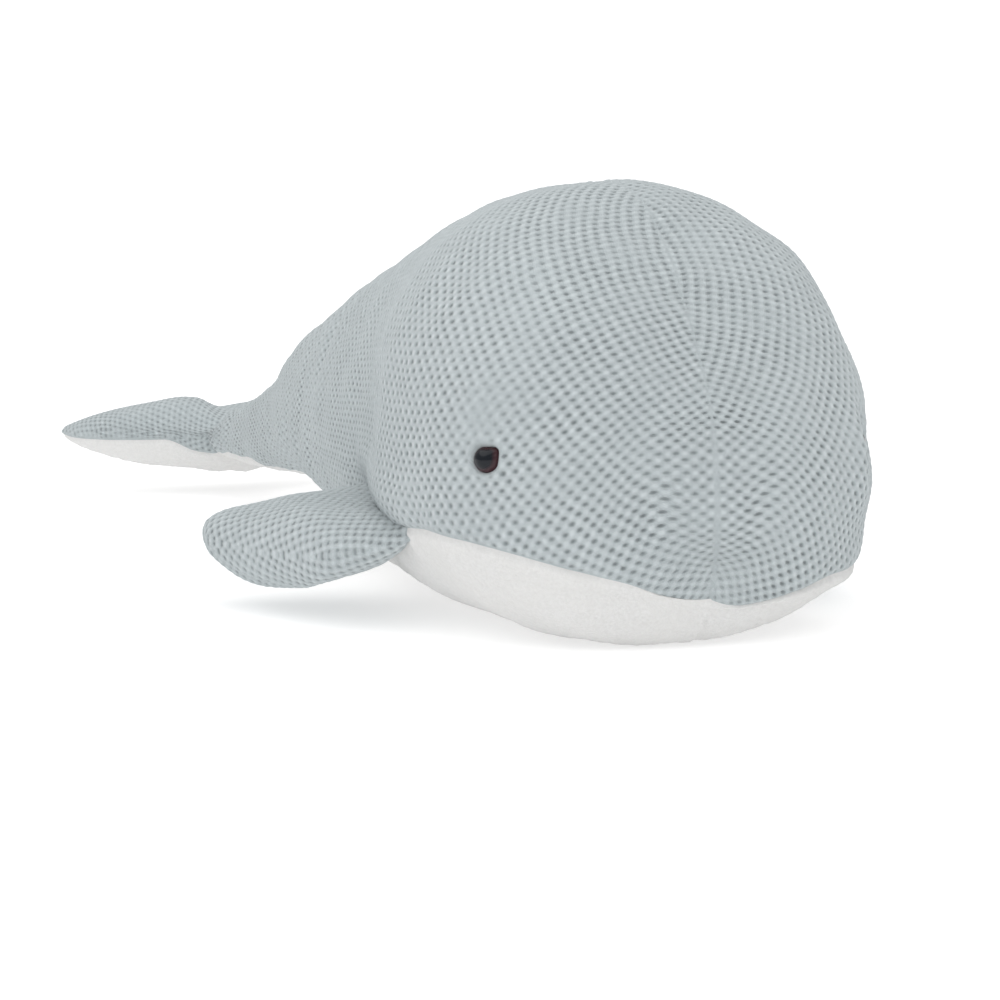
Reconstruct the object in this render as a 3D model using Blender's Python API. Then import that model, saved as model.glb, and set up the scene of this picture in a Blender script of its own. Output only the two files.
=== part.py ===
# Plush whale: a stuffed body in knitted fabric with a white plush belly, two sewn-on
# flippers, a sewn-on tail fluke and two plastic eyes held by washers.
# Metres, +Z up. The nose points to -Y, the whale's right side is -X, the floor is z = 0,
# and the origin is under the middle of the whole toy.

import math

import bmesh
import bpy
import numpy as np
from mathutils import Matrix, Vector

# Body
BODY_LENGTH = 0.468             # nose to the tail seam
BODY_HEIGHT = 0.152
BODY_WIDTH = 0.167
NOSE_HEIGHT = 0.054             # foremost point above the floor
FOREHEAD_REACH = 0.083          # length over which the forehead rounds off
CHIN_REACH = 0.0276
CHEEK_REACH = 0.071
FOREHEAD_POWER = 1.70           # 2 is an ellipse, more is blunter
CHIN_POWER = 2.55
CHEEK_POWER = 2.40
SECTION_POWER = 2.40
WIDEST_HEIGHT = 0.0475
BELLY_FLAT_DEPTH = 0.0005       # the belly is cut flat this deep where it rests

# Shares of the body's length, height and half width, from the nose to the tail seam
# The last station is the tail seam, which has sizes of its own. The belly stays flat further
# back than the rest narrows, so it has stations of its own
STATION_SHARES = (0.0, 0.18, 0.34, 0.50, 0.68, 0.84, 1.0)
BELLY_STATION_SHARES = (0.0, 0.18, 0.40, 0.50, 0.68, 0.84, 1.0)
BACK_SHARES = (1.0, 1.0, 0.917, 0.775, 0.591, 0.400)
BELLY_SHARES = (0.0, 0.0, 0.0, 0.052, 0.124, 0.121)  
WIDTH_SHARES = (1.0, 1.0, 0.772, 0.640, 0.446, 0.250)
SECTION_MIDDLE_SHARES = (0.35, 0.65)    # how low and high the widest point may lie

# Height of the seam between knit and belly, as shares of the body's height
SEAM_STATION_SHARES = (0.0, 0.0113, 0.0125, 0.016, 0.030, 0.053, 0.090, 0.140, 0.226, 0.380, 0.500, 1.0)
SEAM_HEIGHT_SHARES = (0.099, 0.099, 0.128, 0.148, 0.170, 0.193, 0.214, 0.232, 0.240, 0.217, 0.204, 0.192)

# Fabric and gaps
KNIT_THICKNESS = 0.0020
PLUSH_THICKNESS = 0.0024
GAP = 0.0003                    # between pieces that touch
STUFFING_CLEARANCE = 0.0006     # between the stuffing and the fabric round it
CUT_OVERRUN = 0.002             # how far a cutter passes what it cuts

# Tail
TAIL_HEIGHT = 0.0254            # of the seam, and of the knuckle that it wraps
TAIL_WIDTH = 0.0304
TAIL_MIDDLE_HEIGHT = 0.0293     # of the tail's axis above the floor
TAIL_RIM_SETBACK = 0.0055       # the body's fabric ends this far before the tail's axis
FLUKE_LENGTH = 0.041            # from the tail's axis to the notch
FLUKE_SPAN = 0.128
FLUKE_THICKNESS = 0.036
FLUKE_SWEEP = 0.018             # how far the tips lie behind the notch
FLUKE_SWEEP_POWER = 1.6
FLUKE_DROOP = 0.004             # far edge below the tail's axis
FLUKE_SECTION_POWER = 2.1       # 2 is an ellipse, more is fuller
FLUKE_EDGE_POWER = 2.4          # roundness of the far edge
# Shares of the fluke's length, half span and thickness; the root has the tail's own sizes
FLUKE_STATION_SHARES = (0.0, 0.22, 0.48, 0.72, 0.88, 1.0)
FLUKE_WIDTH_SHARES = (0.50, 0.86, 0.99, 1.0, 0.88)
FLUKE_THICKNESS_SHARES = (0.93, 1.0, 1.0, 0.96, 0.90)

# Flippers
FLIPPER_LENGTH = 0.051          # root to tip, straight out from the root
FLIPPER_CHORD = 0.074
FLIPPER_THICKNESS = 0.031
FLIPPER_ROOT_THICKNESS = 0.006
FLIPPER_SWEEP = 0.058           # tip behind the root's middle
FLIPPER_SWEEP_POWER = 1.45
FLIPPER_DROOP = 0.0115          # lowest part of the blade below the root
FLIPPER_SECTION_POWER = 2.3
FLIPPER_EDGE_POWER = 2.5        # roundness of the tip
FLIPPER_ROOT_STATION_SHARES = (0.145, 0.300)    # where the root starts and ends along the body
FLIPPER_CLEARANCE = 0.0004      # between the root and the body
# Shares of the flipper's length, half chord, thickness and droop; the root has its own thickness
FLIPPER_STATION_SHARES = (0.0, 0.20, 0.45, 0.70, 1.0)
FLIPPER_WIDTH_SHARES = (0.96, 1.05, 1.0, 0.86, 0.70)
FLIPPER_THICKNESS_SHARES = (0.72, 1.0, 1.0, 0.90) 
FLIPPER_DROOP_SHARES = (0.0, 0.55, 0.95, 1.0, 0.75)
FLIPPER_FILLING_START_SHARE = 0.14      # the stuffing stops short of the sewn root

# Eyes
EYE_DIAMETER = 0.0115
EYE_DOME_HEIGHT = 0.0036
EYE_STATION_SHARE = 0.062       # along the body
EYE_HEIGHT = 0.065              # above the floor
EYE_POCKET_DEPTH = 0.0012
SHANK_DIAMETER = 0.0030
SHANK_LENGTH = 0.0072
WASHER_DIAMETER = 0.0130
WASHER_THICKNESS = 0.0014
WASHER_DEPTH = 0.0038           # outer face of the washer below the body's outer surface

# Counts
BODY_ROWS = 24
CHIN_ROWS = 3                   # of the body's rows, those in front of the belly panel
SIDE_COLUMNS = 8
BELLY_COLUMNS = 8
FLUKE_ROWS = 8 
FLUKE_COLUMNS = 10
FLIPPER_ROWS = 8 
FLIPPER_COLUMNS = 7
KNUCKLE_ROWS = 3
ROUND_SIDES = 20
ROW_CROWDING = 2.1              # above 1, rows lie closer together towards the nose
EDGE_CROWDING = 1.5             # and towards an edge
BELLY_CROWDING = 1.35           # and columns towards the belly's midline
DOME_STEPS = 5

RIGHT = -1
LEFT = 1


def clear_scene():
    for obj in list(bpy.data.objects):
        bpy.data.objects.remove(obj, do_unlink=True)


def smooth_table(stations, values, t):
    # Monotone cubic through the table's points, so a profile never overshoots them
    x = np.asarray(stations, float)
    y = np.asarray(values, float)
    t = np.clip(np.asarray(t, float), x[0], x[-1])
    step = np.diff(x)
    slope = np.diff(y) / step
    tangent = np.zeros_like(y)
    same_sign = slope[:-1] * slope[1:] > 0
    weight_a = 2 * step[1:] + step[:-1]
    weight_b = step[1:] + 2 * step[:-1]
    safe_a = np.where(same_sign, slope[:-1], 1.0)
    safe_b = np.where(same_sign, slope[1:], 1.0)
    mean = (weight_a + weight_b) / (weight_a / safe_a + weight_b / safe_b)
    tangent[1:-1] = np.where(same_sign, mean, 0.0)
    tangent[0], tangent[-1] = slope[0], slope[-1]
    cell = np.clip(np.searchsorted(x, t, side="right") - 1, 0, len(x) - 2)
    u = (t - x[cell]) / step[cell]
    h00 = (1 + 2 * u) * (1 - u) ** 2
    h10 = u * (1 - u) ** 2
    h01 = u * u * (3 - 2 * u)
    h11 = u * u * (u - 1)
    return (h00 * y[cell] + h10 * step[cell] * tangent[cell]
            + h01 * y[cell + 1] + h11 * step[cell] * tangent[cell + 1])


def rounding(distance_share, power):
    # 0 at the tip, 1 where the rounding ends: a quarter of a superellipse
    rest = 1 - np.clip(distance_share, 0, 1)
    return np.maximum(1 - rest ** power, 0) ** (1 / power)


def signed_power(value, power):
    return np.sign(value) * np.abs(value) ** power


FLUKE_REACH = FLUKE_LENGTH + FLUKE_SWEEP * FLUKE_WIDTH_SHARES[-1] ** FLUKE_SWEEP_POWER
NOSE_Y = -(BODY_LENGTH + FLUKE_REACH) / 2
TAIL_Y = NOSE_Y + BODY_LENGTH
BACK_HEIGHTS = [share * BODY_HEIGHT for share in BACK_SHARES] + [TAIL_MIDDLE_HEIGHT + TAIL_HEIGHT / 2]
BELLY_HEIGHTS = [share * BODY_HEIGHT - BELLY_FLAT_DEPTH for share in BELLY_SHARES]
BELLY_HEIGHTS += [TAIL_MIDDLE_HEIGHT - TAIL_HEIGHT / 2]
HALF_WIDTHS = [share * BODY_WIDTH / 2 for share in WIDTH_SHARES] + [TAIL_WIDTH / 2]


def body_section(t, inset=0.0):
    # Top, bottom, half width and height of the widest point at each station
    nose_top = rounding(t * BODY_LENGTH / FOREHEAD_REACH, FOREHEAD_POWER)
    nose_bottom = rounding(t * BODY_LENGTH / CHIN_REACH, CHIN_POWER)
    nose_side = rounding(t * BODY_LENGTH / CHEEK_REACH, CHEEK_POWER)
    back = smooth_table(STATION_SHARES, BACK_HEIGHTS, t) - inset
    belly = smooth_table(BELLY_STATION_SHARES, BELLY_HEIGHTS, t) + inset
    half = smooth_table(STATION_SHARES, HALF_WIDTHS, t) - inset
    top = NOSE_HEIGHT + (back - NOSE_HEIGHT) * nose_top
    bottom = NOSE_HEIGHT + (belly - NOSE_HEIGHT) * nose_bottom
    low = bottom + SECTION_MIDDLE_SHARES[0] * (top - bottom)
    high = bottom + SECTION_MIDDLE_SHARES[1] * (top - bottom)
    return top, bottom, half * nose_side, np.clip(WIDEST_HEIGHT, low, high)


def body_point(t, angle, inset=0.0):
    # Angle 0 is the widest point at +X, pi/2 the back, -pi/2 the belly
    t, angle = np.broadcast_arrays(np.asarray(t, float), np.asarray(angle, float))
    top, bottom, half, middle = body_section(t, inset)
    sine = np.sin(angle)
    reach = np.where(sine > 0, top - middle, middle - bottom)
    x = half * signed_power(np.cos(angle), 2 / SECTION_POWER)
    y = NOSE_Y + inset + (BODY_LENGTH - inset) * t
    z = middle + reach * signed_power(sine, 2 / SECTION_POWER)
    return np.stack([x, y, z], axis=-1)


def seam_height(t):
    return smooth_table(SEAM_STATION_SHARES, SEAM_HEIGHT_SHARES, t) * BODY_HEIGHT


def angle_at(t, height):
    # Angle at which the body's side is that high above the floor
    top, bottom, half, middle = body_section(t)
    above = np.clip((height - middle) / np.maximum(top - middle, GAP), -1, 1)
    below = np.clip((height - middle) / np.maximum(middle - bottom, GAP), -1, 1)
    share = np.where(height > middle, above, below)
    return np.arcsin(np.clip(signed_power(share, SECTION_POWER / 2), -1, 1))


def chin_station():
    # Where the belly's midline crosses the seam's height: the front tip of the belly panel
    t = np.linspace(0, STATION_SHARES[1], 4001)
    return float(t[np.argmax(body_section(t)[1] < seam_height(t))])


def body_rows():
    # Stations of the panels and the stuffing alike, closer together towards the nose
    chin = chin_station()
    end = 1 - TAIL_RIM_SETBACK / BODY_LENGTH
    front = chin * np.linspace(0, 1, CHIN_ROWS + 1)[:-1] ** EDGE_CROWDING
    rear = chin + (end - chin) * np.linspace(0, 1, BODY_ROWS - CHIN_ROWS + 1) ** ROW_CROWDING
    return np.concatenate([front, rear])


def belly_angles(t, offset):
    # From the seam on one side across the belly to the seam on the other
    reach = np.where(t < chin_station(), 0, math.pi / 2 + angle_at(t, seam_height(t) - offset))
    return -math.pi / 2 + reach[:, None] * signed_power(np.linspace(-1, 1, BELLY_COLUMNS + 1), BELLY_CROWDING)


def half_angles(t):
    # From the belly's midline to its seam, then up the side to the midline of the back
    belly = belly_angles(t, 0.0)[:, BELLY_COLUMNS // 2:]
    sides = belly[:, -1:] + (math.pi / 2 - belly[:, -1:]) * np.linspace(0, 1, SIDE_COLUMNS + 1)[1:]
    return np.concatenate([belly, sides], axis=1)


def grid_faces(rows, columns, start):
    # Triangles of a grid, split alike in every sheet so that stacked sheets run parallel, and
    # towards the corners so that no triangle lies flat between two sheets
    faces = []
    for i in range(rows - 1):
        for j in range(columns - 1):
            a = start + i * columns + j
            b, c, d = a + 1, a + columns + 1, a + columns
            if 2 * j < columns - 1:
                faces += [(a, b, d), (b, c, d)]
            else:
                faces += [(a, b, c), (a, c, d)]
    return faces


def closed_form(name, sheets, material, rim=()):
    # One closed body: sheets sewn where their rims meet, open ends closed, faces outwards
    mesh = bpy.data.meshes.new(name)
    vertices = np.concatenate([sheet.reshape(-1, 3) for sheet in sheets])
    faces = list(rim)
    start = 0
    for sheet in sheets:
        rows, columns = sheet.shape[:2]
        faces += grid_faces(rows, columns, start)
        start += rows * columns
    mesh.from_pydata(vertices.tolist(), [], faces)
    bm = bmesh.new()
    bm.from_mesh(mesh)
    bmesh.ops.remove_doubles(bm, verts=bm.verts, dist=GAP / 30)
    bmesh.ops.holes_fill(bm, edges=bm.edges, sides=0)
    bmesh.ops.recalc_face_normals(bm, faces=bm.faces)
    bm.to_mesh(mesh)
    bm.free()
    mesh.shade_smooth()
    mesh.set_sharp_from_angle(angle=math.radians(50))
    mesh.materials.append(material)
    obj = bpy.data.objects.new(name, mesh)
    bpy.context.collection.objects.link(obj)
    return obj


def shell(name, outer, inner, material):
    # A fabric panel: its outer and inner sheets joined by a rim all round
    rows, columns = outer.shape[:2]
    count = rows * columns
    border = [j for j in range(columns)]
    border += [i * columns + columns - 1 for i in range(1, rows)]
    border += [(rows - 1) * columns + j for j in range(columns - 2, -1, -1)]
    border += [i * columns for i in range(rows - 2, 0, -1)]
    rim = [(b, a, count + a, count + b) for a, b in zip(border, border[1:] + border[:1])]
    return closed_form(name, [outer, inner], material, rim)


def turned(name, profile, material, sides=ROUND_SIDES):
    # Profile of (radius, height) turned about Z
    bm = bmesh.new()
    points = [bm.verts.new((radius, 0, height)) for radius, height in profile]
    edges = [bm.edges.new(pair) for pair in zip(points, points[1:])]
    bmesh.ops.spin(bm, geom=points + edges, axis=(0, 0, 1), cent=(0, 0, 0),
                   steps=sides, angle=math.tau, use_merge=True)
    bmesh.ops.remove_doubles(bm, verts=bm.verts, dist=GAP / 30)
    bmesh.ops.recalc_face_normals(bm, faces=bm.faces)
    mesh = bpy.data.meshes.new(name)
    bm.to_mesh(mesh)
    bm.free()
    mesh.shade_smooth()
    mesh.set_sharp_from_angle(angle=math.radians(40))
    mesh.materials.append(material)
    obj = bpy.data.objects.new(name, mesh)
    bpy.context.collection.objects.link(obj)
    return obj


def fabric(name, colour, roughness):
    material = bpy.data.materials.new(name)
    material.use_nodes = True
    surface = material.node_tree.nodes["Principled BSDF"]
    surface.inputs["Base Color"].default_value = (*colour, 1.0)
    surface.inputs["Roughness"].default_value = roughness
    surface.inputs["Metallic"].default_value = 0.0
    return material


def cut(target, cutter, operation="DIFFERENCE"):
    cutter.hide_render = True
    cutter.display_type = "WIRE"
    modifier = target.modifiers.new("cut_" + cutter.name, "BOOLEAN")
    modifier.operation = operation
    modifier.object = cutter
    modifier.solver = "EXACT"


def hinge_empty(name, location):
    empty = bpy.data.objects.new(name, None)
    empty.location = location
    bpy.context.collection.objects.link(empty)
    return empty


def carry(empty, obj):
    # The piece keeps its place and turns with the empty on its joint's axis
    obj.data.transform(Matrix.Translation(-empty.location))
    obj.parent = empty


def side_panel(side, name, material):
    # Knit from the midline of the back down to the belly's seam and round the chin
    t = body_rows()
    sheets = []
    for inset in (0.0, KNIT_THICKNESS):
        points = body_point(t[:, None], half_angles(t), inset)
        points[..., 0] = np.maximum(points[..., 0], GAP / 2) * side
        sheets.append(points)
    return shell(name, sheets[0], sheets[1], material)


def belly_sheets(t, offset, insets):
    return [body_point(t[:, None], belly_angles(t, offset), inset)[::-1] for inset in insets]


def belly_panel(material):
    sheets = belly_sheets(body_rows()[CHIN_ROWS:], GAP / 2, (0.0, PLUSH_THICKNESS))
    panel = shell("belly_panel", sheets[0], sheets[1], material)
    size = (BODY_WIDTH, BODY_LENGTH, BODY_HEIGHT)
    cut(panel, block("floor_cutter", size, (0, TAIL_Y - BODY_LENGTH / 2, -BODY_HEIGHT / 2)))
    return panel


def belly_cutter():
    # The belly panel grown by the gap and through the knit, which is cut away where it lies
    t = body_rows()[CHIN_ROWS:].copy()
    t[0] -= GAP / BODY_LENGTH
    t[-1] = STATION_SHARES[-1]
    sheets = belly_sheets(t, -GAP, (-CUT_OVERRUN, KNIT_THICKNESS + CUT_OVERRUN))
    return shell("belly_cutter", sheets[0], sheets[1], bpy.data.materials["cutter"])


def block(name, size, centre):
    bm = bmesh.new()
    bmesh.ops.create_cube(bm, size=1.0)
    bmesh.ops.scale(bm, vec=size, verts=bm.verts)
    bmesh.ops.translate(bm, vec=centre, verts=bm.verts)
    mesh = bpy.data.meshes.new(name)
    bm.to_mesh(mesh)
    bm.free()
    obj = bpy.data.objects.new(name, mesh)
    bpy.context.collection.objects.link(obj)
    return obj


def body_filling(material):
    t = body_rows()
    inset = max(KNIT_THICKNESS, PLUSH_THICKNESS) + STUFFING_CLEARANCE
    half = body_point(t[:, None], half_angles(t), inset)
    return closed_form("body_filling", [half, half * (-1, 1, 1)], material)


def knuckle_points(form, turn, angle, inset):
    # A barrel about the joint's axis, whose radius falls off towards its two ends
    turn, angle = np.broadcast_arrays(turn, angle)
    power = 2 / form["section_power"]
    across = (form["widths"][0] - inset) * signed_power(np.cos(angle), power)
    radius = (form["heights"][0] - inset) * signed_power(np.sin(angle), power)
    return np.stack([across, -np.abs(radius) * np.cos(turn), radius * np.sin(turn)], axis=-1)


def blade_points(form, r, angle, inset):
    # Sections across the blade from the joint's axis, r = 0, to its far edge, r = 1
    r, angle = np.broadcast_arrays(r, angle)
    closing = np.maximum(1 - r ** form["edge_power"], 0) ** (1 / form["edge_power"])
    width = smooth_table(form["stations"], form["widths"], r) - inset
    height = (smooth_table(form["stations"], form["heights"], r) - inset) * closing
    if form["round_tip"]:
        width = width * closing
    power = 2 / form["section_power"]
    x = width * signed_power(np.cos(angle), power)
    z = height * signed_power(np.sin(angle), power)
    return form["bend"](x, (form["length"] - inset) * r, z, r)


def fluke_bend(x, y, z, r):
    # The tips lie behind the notch in the middle, and the far edge hangs a little
    swept = y + FLUKE_SWEEP * r * (np.abs(x) * 2 / FLUKE_SPAN) ** FLUKE_SWEEP_POWER
    return np.stack([x, swept, z - FLUKE_DROOP * np.sqrt(r)], axis=-1)


def flipper_bend(x, y, z, r):
    # The blade sweeps towards the tail and hangs below its root
    swept = x + FLIPPER_SWEEP * (1 - (1 - r) ** FLIPPER_SWEEP_POWER)
    return np.stack([swept, y, z - FLIPPER_DROOP * smooth_table(FLIPPER_STATION_SHARES, FLIPPER_DROOP_SHARES, r)], axis=-1)


FLUKE = {
    "stations": FLUKE_STATION_SHARES,
    "widths": [TAIL_WIDTH / 2] + [share * FLUKE_SPAN / 2 for share in FLUKE_WIDTH_SHARES],
    "heights": [TAIL_HEIGHT / 2] + [share * FLUKE_THICKNESS / 2 for share in FLUKE_THICKNESS_SHARES],
    "length": FLUKE_LENGTH, "section_power": FLUKE_SECTION_POWER, "edge_power": FLUKE_EDGE_POWER,
    "round_tip": False, "bend": fluke_bend,
}
FLIPPER = {
    "stations": FLIPPER_STATION_SHARES,
    "widths": [share * FLIPPER_CHORD / 2 for share in FLIPPER_WIDTH_SHARES],
    "heights": [FLIPPER_ROOT_THICKNESS / 2] + [share * FLIPPER_THICKNESS / 2 for share in FLIPPER_THICKNESS_SHARES],
    "length": FLIPPER_LENGTH, "section_power": FLIPPER_SECTION_POWER, "edge_power": FLIPPER_EDGE_POWER,
    "round_tip": True, "bend": flipper_bend,
}


def blade_sheet(form, rows, columns, side, inset, lift):
    # One sheet, upper (side 1) or lower (side -1), from the knuckle's front to the far edge
    angle = side * np.linspace(0, math.pi, columns + 1)[None, :]
    turn = np.linspace(0, math.pi / 2, KNUCKLE_ROWS + 1)[:-1, None]
    r = 1 - (1 - np.linspace(0, 1, rows + 1)[:, None]) ** EDGE_CROWDING
    knuckle = knuckle_points(form, turn, angle, inset)
    blade = blade_points(form, r, angle, inset)
    points = np.concatenate([knuckle, blade])
    points[..., 2] += side * lift
    return points


def in_frame(points, frame):
    origin, across, out, up = frame
    return origin + points[..., :1] * across + points[..., 1:2] * out + points[..., 2:] * up


def blade_panels(form, rows, columns, frame, names, thicknesses, materials):
    pieces = []
    for side, name, thickness, material in zip((1, -1), names, thicknesses, materials):
        outer = in_frame(blade_sheet(form, rows, columns, side, 0.0, GAP / 2), frame)
        inner = in_frame(blade_sheet(form, rows, columns, side, thickness, GAP / 2), frame)
        pieces.append(shell(name, outer, inner, material))
    return pieces


def blade_filling(name, form, rows, columns, start, inset, frame, material):
    r = 1 - (1 - np.linspace(start, 1, rows + 1)[:, None]) ** EDGE_CROWDING
    sheets = []
    for side in (1, -1):
        angle = side * np.linspace(0, math.pi, columns + 1)[None, :]
        points = blade_points(form, r, angle, inset)
        if start == 0:
            turn = np.linspace(0, math.pi / 2, KNUCKLE_ROWS + 1)[:-1, None]
            points = np.concatenate([knuckle_points(form, turn, angle, inset), points])
        sheets.append(in_frame(points, frame))
    return closed_form(name, sheets, material)


def tail_frame():
    origin = np.array([0.0, TAIL_Y, TAIL_MIDDLE_HEIGHT])
    return origin, np.array([1.0, 0, 0]), np.array([0, 1.0, 0]), np.array([0, 0, 1.0])


def root_point(t):
    return body_point(t, angle_at(t, seam_height(t)))


def flipper_frame(side):
    # The hinge runs beside the seam, straight from the root's front to its rear, just far
    # enough out that the root clears the body where it bulges most
    t = np.linspace(*FLIPPER_ROOT_STATION_SHARES, 33)
    line = root_point(t)
    middle = (line[0] + line[-1]) / 2
    along = (line[-1] - line[0]) / np.linalg.norm(line[-1] - line[0])
    out = np.cross(along, (0, 0, 1.0))
    out /= np.linalg.norm(out)
    bulge = float(np.max((line - middle) @ out))
    origin = middle + out * (bulge + FLIPPER_ROOT_THICKNESS / 2 + FLIPPER_CLEARANCE)
    up = np.cross(along, out) * -1
    mirror = np.array([side, 1, 1])
    return origin * mirror, along * mirror, out * mirror, up * mirror


def eye_frame(side):
    t = np.array(EYE_STATION_SHARE)
    angle = angle_at(t, EYE_HEIGHT)
    step = EYE_STATION_SHARE / 200
    origin = body_point(t, angle)
    normal = np.cross(body_point(t + step, angle) - body_point(t - step, angle),
                      body_point(t, angle + step) - body_point(t, angle - step))
    normal *= math.copysign(1, normal[0]) / np.linalg.norm(normal)
    return Vector((origin[0] * side, origin[1], origin[2])), Vector((normal[0] * side, normal[1], normal[2]))


def aim(obj, origin, normal):
    obj.data.transform(Matrix.Translation(origin) @ normal.to_track_quat("Z", "Y").to_matrix().to_4x4())


def eye(name, frame, material):
    radius = EYE_DIAMETER / 2
    shank = SHANK_DIAMETER / 2
    steps = [math.pi / 2 * i / DOME_STEPS for i in range(DOME_STEPS + 1)]
    dome = [(radius * math.sin(a), EYE_DOME_HEIGHT * math.cos(a)) for a in steps]
    profile = dome + [(shank, 0), (shank, -SHANK_LENGTH), (0, -SHANK_LENGTH)]
    obj = turned(name, profile, material)
    origin, normal = frame
    aim(obj, origin - normal * (EYE_POCKET_DEPTH - GAP), normal)
    return obj


def eye_washer(name, frame, material):
    bore = SHANK_DIAMETER / 2 + GAP / 3
    profile = [(bore, 0), (WASHER_DIAMETER / 2, 0), (WASHER_DIAMETER / 2, -WASHER_THICKNESS),
               (bore, -WASHER_THICKNESS), (bore, 0)]
    obj = turned(name, profile, material)
    origin, normal = frame
    aim(obj, origin - normal * WASHER_DEPTH, normal)
    return obj


def eye_cutters(side_name, frame):
    # One opens the panel for the dome and the shank, one the stuffing for washer and shank
    origin, normal = frame
    eye_radius = EYE_DIAMETER / 2 + GAP
    shank = SHANK_DIAMETER / 2 + GAP
    washer = WASHER_DIAMETER / 2 + GAP
    deep = SHANK_LENGTH + EYE_POCKET_DEPTH
    panel_profile = [(0, CUT_OVERRUN), (eye_radius, CUT_OVERRUN), (eye_radius, -EYE_POCKET_DEPTH),
                     (shank, -EYE_POCKET_DEPTH), (shank, -deep), (0, -deep)]
    floor = -WASHER_DEPTH - WASHER_THICKNESS - GAP
    filling_profile = [(0, CUT_OVERRUN), (washer, CUT_OVERRUN), (washer, floor), (shank, floor),
                       (shank, -deep - GAP), (0, -deep - GAP)]
    cutters = []
    for kind, profile in (("panel", panel_profile), ("filling", filling_profile)):
        cutter = turned("eye_cutter_" + kind + "_" + side_name, profile, bpy.data.materials["cutter"])
        aim(cutter, origin, normal)
        cutters.append(cutter)
    return cutters


def knuckle_cutter():
    # The fluke's knuckle grown by the gap, for the hollow at the body's tail end
    sheets = []
    for side in (1, -1):
        angle = side * np.linspace(0, math.pi, FLUKE_COLUMNS + 1)[None, :]
        turn = np.linspace(0, math.pi, 4 * KNUCKLE_ROWS + 1)[:, None]
        sheets.append(in_frame(knuckle_points(FLUKE, turn, angle, -GAP), tail_frame()))
    return closed_form("knuckle_cutter", sheets, bpy.data.materials["cutter"])


def build():
    clear_scene()
    knit = fabric("grey_knit", (0.53, 0.57, 0.58), 0.9)
    plush = fabric("white_plush", (0.86, 0.86, 0.85), 0.95)
    filling = fabric("polyester_filling", (0.93, 0.93, 0.91), 1.0)
    eye_plastic = fabric("eye_plastic", (0.012, 0.012, 0.018), 0.08)
    washer_plastic = fabric("washer_plastic", (0.75, 0.75, 0.74), 0.4)
    fabric("cutter", (0.8, 0.2, 0.2), 0.5)

    body = body_filling(filling)
    belly = belly_panel(plush)
    hollow = knuckle_cutter()
    belly_opening = belly_cutter()
    cut(body, hollow)
    cut(belly, hollow)

    tail_hinge = hinge_empty("tail_hinge", Vector(tail_frame()[0]))
    fluke = blade_panels(FLUKE, FLUKE_ROWS, FLUKE_COLUMNS, tail_frame(),
                         ("fluke_top_panel", "fluke_underside_panel"),
                         (KNIT_THICKNESS, PLUSH_THICKNESS), (knit, plush))
    fluke.append(blade_filling("fluke_filling", FLUKE, FLUKE_ROWS, FLUKE_COLUMNS, 0.0,
                               max(KNIT_THICKNESS, PLUSH_THICKNESS) + STUFFING_CLEARANCE, tail_frame(), filling))
    for piece in fluke:
        carry(tail_hinge, piece)

    for side, side_name in ((RIGHT, "right"), (LEFT, "left")):
        panel = side_panel(side, "side_panel_" + side_name, knit)
        cut(panel, belly_opening)
        cut(panel, hollow)
        frame = eye_frame(side)
        for target, cutter in zip((panel, body), eye_cutters(side_name, frame)):
            cut(target, cutter)
        eye("eye_" + side_name, frame, eye_plastic)
        eye_washer("eye_washer_" + side_name, frame, washer_plastic)

        root = flipper_frame(side)
        hinge = hinge_empty("flipper_hinge_" + side_name, Vector(root[0]))
        names = ["flipper_" + side_name + "_" + part for part in ("top_panel", "underside_panel")]
        flipper = blade_panels(FLIPPER, FLIPPER_ROWS, FLIPPER_COLUMNS, root, names,
                               (KNIT_THICKNESS, KNIT_THICKNESS), (knit, knit))
        flipper.append(blade_filling("flipper_" + side_name + "_filling", FLIPPER, FLIPPER_ROWS, FLIPPER_COLUMNS,
                                     FLIPPER_FILLING_START_SHARE, KNIT_THICKNESS + STUFFING_CLEARANCE, root, filling))
        for piece in flipper:
            carry(hinge, piece)


build()
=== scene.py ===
# Plush whale, dressed for the picture. Metres, nose towards -Y, back up, standing on z = 0.
# Two knit sides meet on the midline and sit on a plush belly, each sewn round its share of stuffing;
# the fluke and the flippers are stuffed pieces of their own, and two glossy eyes sit in the knit.
import math
from functools import partial

import bpy
import numpy as np
from mathutils import Matrix, Vector


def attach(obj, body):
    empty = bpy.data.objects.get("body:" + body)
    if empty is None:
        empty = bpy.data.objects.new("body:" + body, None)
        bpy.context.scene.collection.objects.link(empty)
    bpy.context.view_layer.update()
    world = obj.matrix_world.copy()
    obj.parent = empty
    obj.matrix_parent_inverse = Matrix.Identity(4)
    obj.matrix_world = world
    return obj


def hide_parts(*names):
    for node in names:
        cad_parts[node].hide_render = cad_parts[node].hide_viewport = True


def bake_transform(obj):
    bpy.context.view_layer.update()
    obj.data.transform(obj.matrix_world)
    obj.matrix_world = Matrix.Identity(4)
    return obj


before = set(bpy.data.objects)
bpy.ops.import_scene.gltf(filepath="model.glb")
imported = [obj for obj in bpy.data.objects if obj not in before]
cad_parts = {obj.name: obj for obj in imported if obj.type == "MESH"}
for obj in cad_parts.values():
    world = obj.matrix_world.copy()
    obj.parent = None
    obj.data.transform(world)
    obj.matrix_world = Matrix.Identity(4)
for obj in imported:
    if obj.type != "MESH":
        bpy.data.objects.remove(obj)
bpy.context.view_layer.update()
print("packed frame loaded")

millimetre = .001
right, left = -1, 1  # the whale's own sides, as signs of x
sides = ((right, "right", "Right"), (left, "left", "Left"))

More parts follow.
